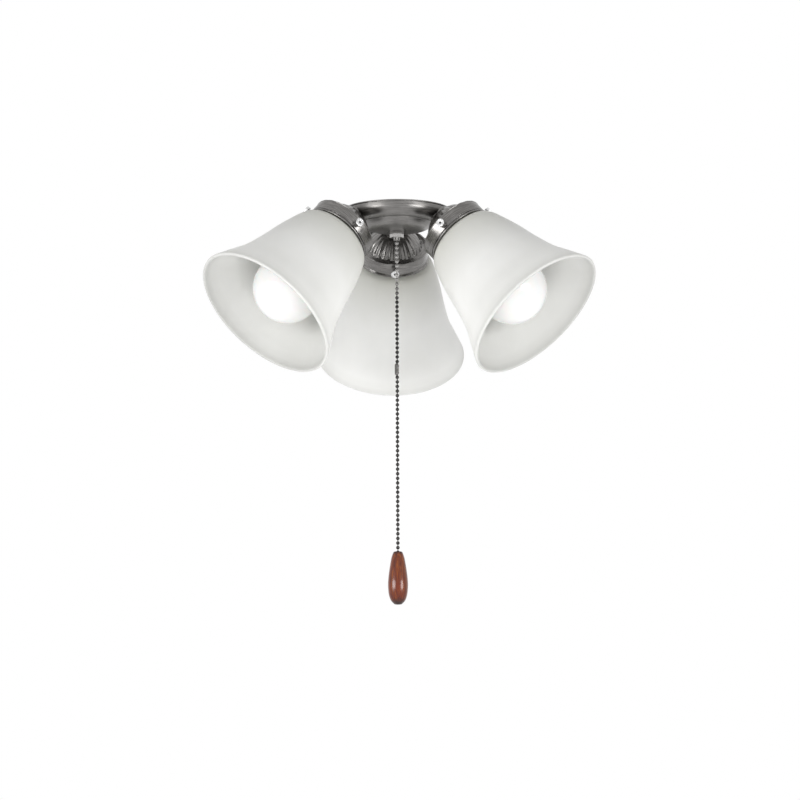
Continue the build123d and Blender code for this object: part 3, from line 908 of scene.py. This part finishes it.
def settle(piece, matrix):
    """Moves a piece's vertices into the shared frame and keeps their own places and sides as attributes."""
    mesh = piece.data
    mesh.attributes.new("own_place", "FLOAT_VECTOR", "POINT")
    mesh.attributes.new("outside", "FLOAT", "POINT")
    own, outside = mesh.attributes["own_place"].data, mesh.attributes["outside"].data
    for vertex, stored, side in zip(mesh.vertices, own, outside):
        stored.vector = vertex.co
        side.value = float(vertex.normal.xy.dot(vertex.co.xy) > 0)
    mesh.transform(matrix)


for arm in arms:
    glass = lathe(f"glass_{arm}", shade_outline(), glass_around, sharp=60)
    settle(glass, arm_frame(arm))
    place(glass, shared, "kit", frosted, "frosted_glass", f"glass_shade_{arm}")


# Lamps

def globe_outline():
    """Globe that runs into the lamp's neck in one curve."""
    a = radians(bulb_shoulder)
    start = bulb_length - bulb_drop - base_length
    join_r, join_z = bulb_radius * cos(a), bulb_radius * sin(a) - bulb_drop
    p0, p3 = Vector((bulb_neck, start)), Vector((join_r, join_z))
    p1 = p0 + Vector((0, -1)) * bulb_handle
    p2 = p3 + Vector((-sin(a), cos(a))) * bulb_handle
    neck = [tuple(p0 * (1 - t) ** 3 + 3 * p1 * t * (1 - t) ** 2 + 3 * p2 * t * t * (1 - t) + p3 * t ** 3)
            for t in (k / bulb_neck_steps for k in range(bulb_neck_steps))]
    globe = arc((0, -bulb_drop), bulb_radius, bulb_shoulder, -90, steps=32)
    return [(bulb_neck - bulb_edge, start)] + neck + globe[:-1] + [(0, -bulb_drop - bulb_radius)]


def lamp_cap(arm):
    """Threaded cap over a plain skirt."""
    end = bulb_length - bulb_drop
    low, top = end - base_length, end - tip_height - insulator_height
    valley = low + base_skirt
    skirt = lathe("skirt", rounded([(bulb_neck - skirt_edge, low, 0), (base_radius, low, small),
                                    (base_radius, valley, full), (base_valley, valley + skirt_slope, 0)]),
                  cap_around, closed=False)
    thread = threaded("thread", base_radius, base_valley, base_pitch, valley, top, cap_around, steps=10)
    return join(f"lamp_cap_{arm}", [skirt, thread])


def lamp(arm):
    matrix, body = arm_frame(arm), f"lamp_{arm}"
    globe = lathe(f"lamp_globe_{arm}", globe_outline(), lamp_around, closed=False, sharp=60)
    place(globe, matrix, body, opal, "lamp_glass", f"bulb_glass_{arm}")
    place(lamp_cap(arm), matrix, body, aluminium, "lamp_base", f"bulb_base_{arm}")


for arm in arms:
    lamp(arm)


# Thumbscrews

def knurled(angle, height):
    return 1 - knurl_depth * (0.5 + 0.5 * cos(angle * screw_knurls))


def thumbscrew(arm, number):
    head, top = screw_head, screw_head + screw_head_height
    face, pit, floor = screw_head_radius - screw_face_inset, screw_dimple_radius, top - screw_dimple
    rim = rounded([(screw_flare_radius, head, 0), (screw_head_radius, head, soft),
                   (screw_head_radius, top, broad), (face, top, 0)])
    grip = lathe("grip", rim, knurl_around, knurled, closed=False, sharp=50)
    tip = [(0, screw_tip), (screw_radius * screw_tip_share, screw_tip),
           (screw_radius, screw_tip + screw_tip_cone)]
    flare = [(screw_radius + (screw_flare_radius - screw_radius) * t ** 2, head - screw_flare * (1 - t))
             for t in (k / screw_flare_steps for k in range(screw_flare_steps + 1))]
    shank = lathe("shank", tip + flare, screw_around, closed=False)
    dimple = [(face, top), (pit + screw_dimple_lip, top - screw_dimple_fall), (pit, top - screw_dimple_edge),
              (pit, floor), (0, floor)]
    cap = lathe("cap", dimple, screw_around, closed=False)
    piece = join(f"screw_{arm}_{number}_dressed", [grip, shank, cap])
    place(piece, screw_frame(arm, number), f"screw_{arm}_{number}", screw_metal, "screw_metal",
          f"thumbscrew_{arm}_{number}")


for arm in arms:
    for number in (1, 2, 3):
        thumbscrew(arm, number)


# Pull switch

def hexagon(flats):
    corner = flats / 2 / cos(radians(30))
    return [(corner * cos(radians(60 * k)), corner * sin(radians(60 * k))) for k in range(6)]


def switch():
    top = -dish_bottom
    nut = prism("ring_nut", hexagon(nut_flats), top - nut_height, top, soft)
    place(nut, shared, "kit", switch_metal, "switch_metal", "switch_nut")
    foot, root = top - bushing_drop, bushing_radius - bushing_thread_depth
    mouth, start = foot - spout_length, foot + bushing_thread_depth
    thread = threaded("bushing_thread", bushing_radius, root, bushing_thread, start, top - nut_height,
                      pipe_around)
    outline = rounded([(root, start, 0), (bushing_radius - bushing_chamfer, foot, fine),
                       (spout_radius, foot, small), (spout_radius, mouth + spout_bead_top, small),
                       (spout_radius + spout_bead, mouth + spout_bead_middle, fine),
                       (spout_radius, mouth, fine), (spout_bore, mouth, fine), (spout_bore, top, 0)])
    spout = lathe("spout", outline, pipe_around, closed=False)
    piece = join("switch_spout", [thread, spout])
    place(piece, shared, "kit", switch_metal, "switch_metal", "switch_bushing")


switch()


# Ball chain: every bead is a hollow ball with the link's ends drawn into its poles

def bead_outline(depth):
    """Ball at a depth, dimpled where the link enters it."""
    top = asin(link_radius * link_hole_share / bead_radius)
    angles = [top + (pi - 2 * top) * k / bead_rows for k in range(bead_rows + 1)]
    shell = [(bead_radius * sin(a), -depth + bead_radius * cos(a)) for a in angles]
    return [(link_radius, shell[0][1] - bead_dimple)] + shell + [(link_radius, shell[-1][1] + bead_dimple)]


def chain_piece(name, depths, start=None, end=None, head=None):
    """Beads at the given depths with a link through them all, and a plunger's head at a depth of its own."""
    first = start if start is not None else depths[0]
    last = end if end is not None else depths[-1]
    parts = [lathe("bead", bead_outline(depth), bead_around, closed=False) for depth in depths]
    link = [(0, -first), (link_radius, -first), (link_radius, -last), (0, -last)]
    parts.append(lathe("link", link, link_around, closed=False))
    if head:
        shoulder = plunger_height - head
        button = [(0, -head), (plunger_radius, -head), (plunger_radius, shoulder), (0, shoulder)]
        parts.append(lathe("head", button, bead_around, closed=False))
    return join(name, parts)


def run(first, count):
    """Depths of a count of beads."""
    return [first + k * chain_pitch for k in range(count)]


def chained(piece, body, node):
    return place(piece, shared, body, chain_metal, "chain_metal", node)


def chain():
    inner = [first_bead - (k + 1) * chain_pitch for k in range(inner_beads)][::-1]
    top = inner[0] - bead_radius
    plunger = chain_piece("switch_run", inner, top, first_bead - bead_radius - pivot_gap, top)
    chained(plunger, "pull_stem", "switch_plunger")
    chained(chain_piece("spout_bead", [first_bead]), "exit_bead", "chain_swivel_bead")
    upper = chain_piece("upper_run", run(first_bead + chain_pitch, upper_beads), run_start)
    chained(upper, "chain_top", "chain_upper")
    lower = chain_piece("lower_run", run(lower_first, lower_beads))
    chained(lower, "chain_bottom", "chain_lower")
    end = chain_piece("fob_run", run(fob_head, fob_beads), lower_last + bead_radius + pivot_gap)
    chained(end, "fob", "chain_end")
    return upper, lower, end


def coupling():
    """Folded clasp, straight along its back, pinched and open along its front."""
    top, low = -(upper_last - coupling_over), -(lower_first + coupling_over)
    middle, half = (top + low) / 2, (top - low) / 2
    rows, around = coupling_rows, coupling_rows
    verts, faces = [], []

    def shell(z, grow):
        edge = abs(z - middle) / half
        cap = sqrt(max(1 - max(edge - (1 - cap_share), 0) ** 2 / cap_share ** 2 * cap_fall, 0))
        return (coupling_radius - grow) * cap

    def at(side, i, k):
        return side * (rows + 1) * (around + 1) + i * (around + 1) + k

    for side, grow in enumerate((0, coupling_wall)):
        for i in range(rows + 1):
            z = top + (low - top) * i / rows
            inner_z = middle + (z - middle) * (1 - grow / half)
            near = 1 - abs(z - middle) / half
            pinch = max(0, near - (1 - pinch_share)) / pinch_share
            opening = radians(opening_wide - opening_fall * pinch)
            for k in range(around + 1):
                a = opening + (2 * pi - 2 * opening) * k / around
                r = shell(z, grow) * (1 - pinch_depth * pinch * max(0, cos(a)))
                verts.append((r * cos(a), r * sin(a), inner_z))
    for side in (0, 1):
        for i in range(rows):
            for k in range(around):
                faces.append([at(side, i, k), at(side, i, k + 1), at(side, i + 1, k + 1), at(side, i + 1, k)])
    for i in range(rows):
        for k in (0, around):
            faces.append([at(0, i, k), at(0, i + 1, k), at(1, i + 1, k), at(1, i, k)])
    for i in (0, rows):
        for k in range(around):
            faces.append([at(0, i, k), at(0, i, k + 1), at(1, i, k + 1), at(1, i, k)])
    return new_piece("clasp", verts, faces, sharp=50)


upper_run, lower_run, fob_run = chain()
clasp = place(coupling(), shared, "coupling", coupling_metal, "coupling_metal", "chain_coupling")


# Fob

def fob():
    top = fob_lift - fob_head
    foot = top - fob_length
    bore = [(fob_bore, top - fob_bore_depth), (fob_bore, top - fob_edge), (fob_bore + fob_chamfer, top),
            (fob_top - fob_edge, top)]
    stations = [(r * mm, top - fob_length * s) for s, r in fob_stations]
    side = smooth_line(stations + [(fob_foot, foot + fob_chamfer)], steps=7)
    counterbore = [(fob_foot - fob_chamfer, foot), (fob_counterbore[0], foot),
                   (fob_counterbore[1], foot + fob_counterbore_depth)]
    return lathe("wood_fob", bore + side + counterbore, fob_around, closed=False, sharp=50)


fob_piece = place(fob(), shared, "fob", wood, "walnut", "pull_fob")


# CAD nodes that stay, in better materials

def keep(prefix, material):
    """Dresses the CAD nodes whose names start alike and that no piece replaces."""
    for name, node in frame["nodes"].items():
        if name.startswith(prefix) and not node.hide_render:
            node.data.materials.clear()
            node.data.materials.append(material)


keep("arm_nipple", zinc)
keep("arm_nuts", zinc)
keep("socket_body", porcelain)
keep("socket_shell", brass)
keep("socket_tongue", brass)
keep("bulb_insulator", black_glass)
keep("bulb_tip", solder)
keep("switch_body", bakelite)
keep("fob_washer", brass)


# Light, floor and camera

def by_ray(tree, light, seen):
    """One value for light on the object, another for what the camera and reflections see."""
    path = tree.nodes.new("ShaderNodeLightPath")
    last = path.outputs["Is Camera Ray"]
    for kind in ("Is Glossy Ray", "Is Transmission Ray"):
        either = tree.nodes.new("ShaderNodeMath")
        either.operation = "MAXIMUM"
        tree.links.new(last, either.inputs[0])
        tree.links.new(path.outputs[kind], either.inputs[1])
        last = either.outputs[0]
    level = tree.nodes.new("ShaderNodeMapRange")
    level.inputs["To Min"].default_value = light
    level.inputs["To Max"].default_value = seen
    tree.links.new(last, level.inputs["Value"])
    return level.outputs["Result"]


def world_light():
    """Even light from all round, seen as plain white, which is a strength of 1."""
    world = bpy.data.worlds.new("studio")
    bpy.context.scene.world = world
    world.use_nodes = True
    back = world.node_tree.nodes["Background"]
    back.inputs["Color"].default_value = (*white, 1)
    world.node_tree.links.new(by_ray(world.node_tree, ambient, 1.0), back.inputs["Strength"])


def studio_floor():
    depth = -floor_depth
    verts = [(x * floor_half, y * floor_half, depth) for x, y in ((-1, -1), (1, -1), (1, 1), (-1, 1))]
    ground = new_piece("floor", verts, [[0, 1, 2, 3]])
    pale = Shader("floor", grey(floor_tone), floor_roughness)
    pale.set("Emission Color", (*white, 1))
    pale.link(by_ray(pale.tree, *floor_glow), pale.shader.inputs["Emission Strength"])
    ground.data.materials.append(pale.material)


def softbox(name, place_at, size, power):
    light = bpy.data.lights.new(name, "AREA")
    light.shape = "RECTANGLE"
    light.size, light.size_y = size
    light.energy = power
    lamp_object = bpy.data.objects.new(name, light)
    bpy.context.scene.collection.objects.link(lamp_object)
    lamp_object.location = place_at
    lamp_object.rotation_euler = (Vector(light_aim) - Vector(place_at)).to_track_quat("-Z", "Y").to_euler()
    return lamp_object


def main_camera():
    data = bpy.data.cameras.new("camera")
    data.lens = lens
    data.sensor_width = sensor
    data.clip_start, data.clip_end = clip
    camera = bpy.data.objects.new("camera", data)
    bpy.context.scene.collection.objects.link(camera)
    look = (Vector(camera_aim) - Vector(camera_place)).to_track_quat("-Z", "Y").to_matrix()
    roll = Matrix.Rotation(radians(camera_roll), 3, "Z")
    camera.matrix_world = Matrix.Translation(camera_place) @ (look @ roll).to_4x4()
    bpy.context.scene.camera = camera


world_light()
studio_floor()
softbox("key", *key_light)
softbox("fill", *fill_light)
softbox("front", *front_light).visible_glossy = False
main_camera()
bpy.context.scene.view_settings.view_transform = "Standard"
